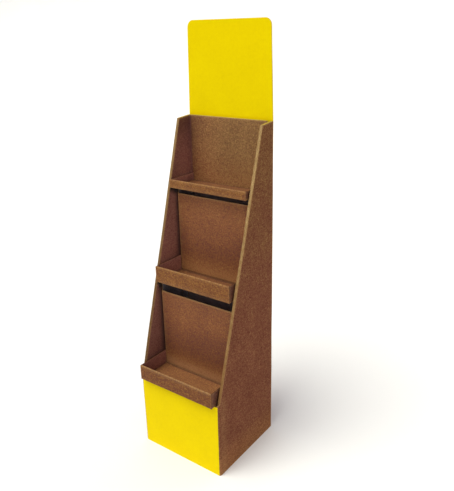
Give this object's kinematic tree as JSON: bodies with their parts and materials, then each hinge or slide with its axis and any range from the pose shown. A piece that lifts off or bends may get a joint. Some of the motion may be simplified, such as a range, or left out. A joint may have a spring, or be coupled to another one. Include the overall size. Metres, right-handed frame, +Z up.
{
  "type": "cardboard display stand",
  "caption": "Free-standing corrugated cardboard display stand with sloping sides, stepped open trays with raised lips, and a flat header card above the back.",
  "frame": {"origin": "middle of the outline, at floor level", "axes": "+Z up, -Y towards the open front, +X to the right seen from the front"},
  "size_m": [0.36, 0.366, 1.529],
  "materials": {
    "shell_board": "matt brown kraft liner, the front panel printed plain yellow",
    "tray_board": "matt brown kraft liner",
    "header_print": "plain yellow print on kraft board, low sheen"
  },
  "bodies": {
    "root": {"outer_shell": "shell_board", "upper_tray": "tray_board", "middle_tray": "tray_board", "lower_tray": "tray_board", "upper_riser": "tray_board", "middle_riser": "tray_board", "lower_riser": "tray_board", "header_card": "header_print", "header_pocket": "shell_board"}
  },
  "joints": []
}
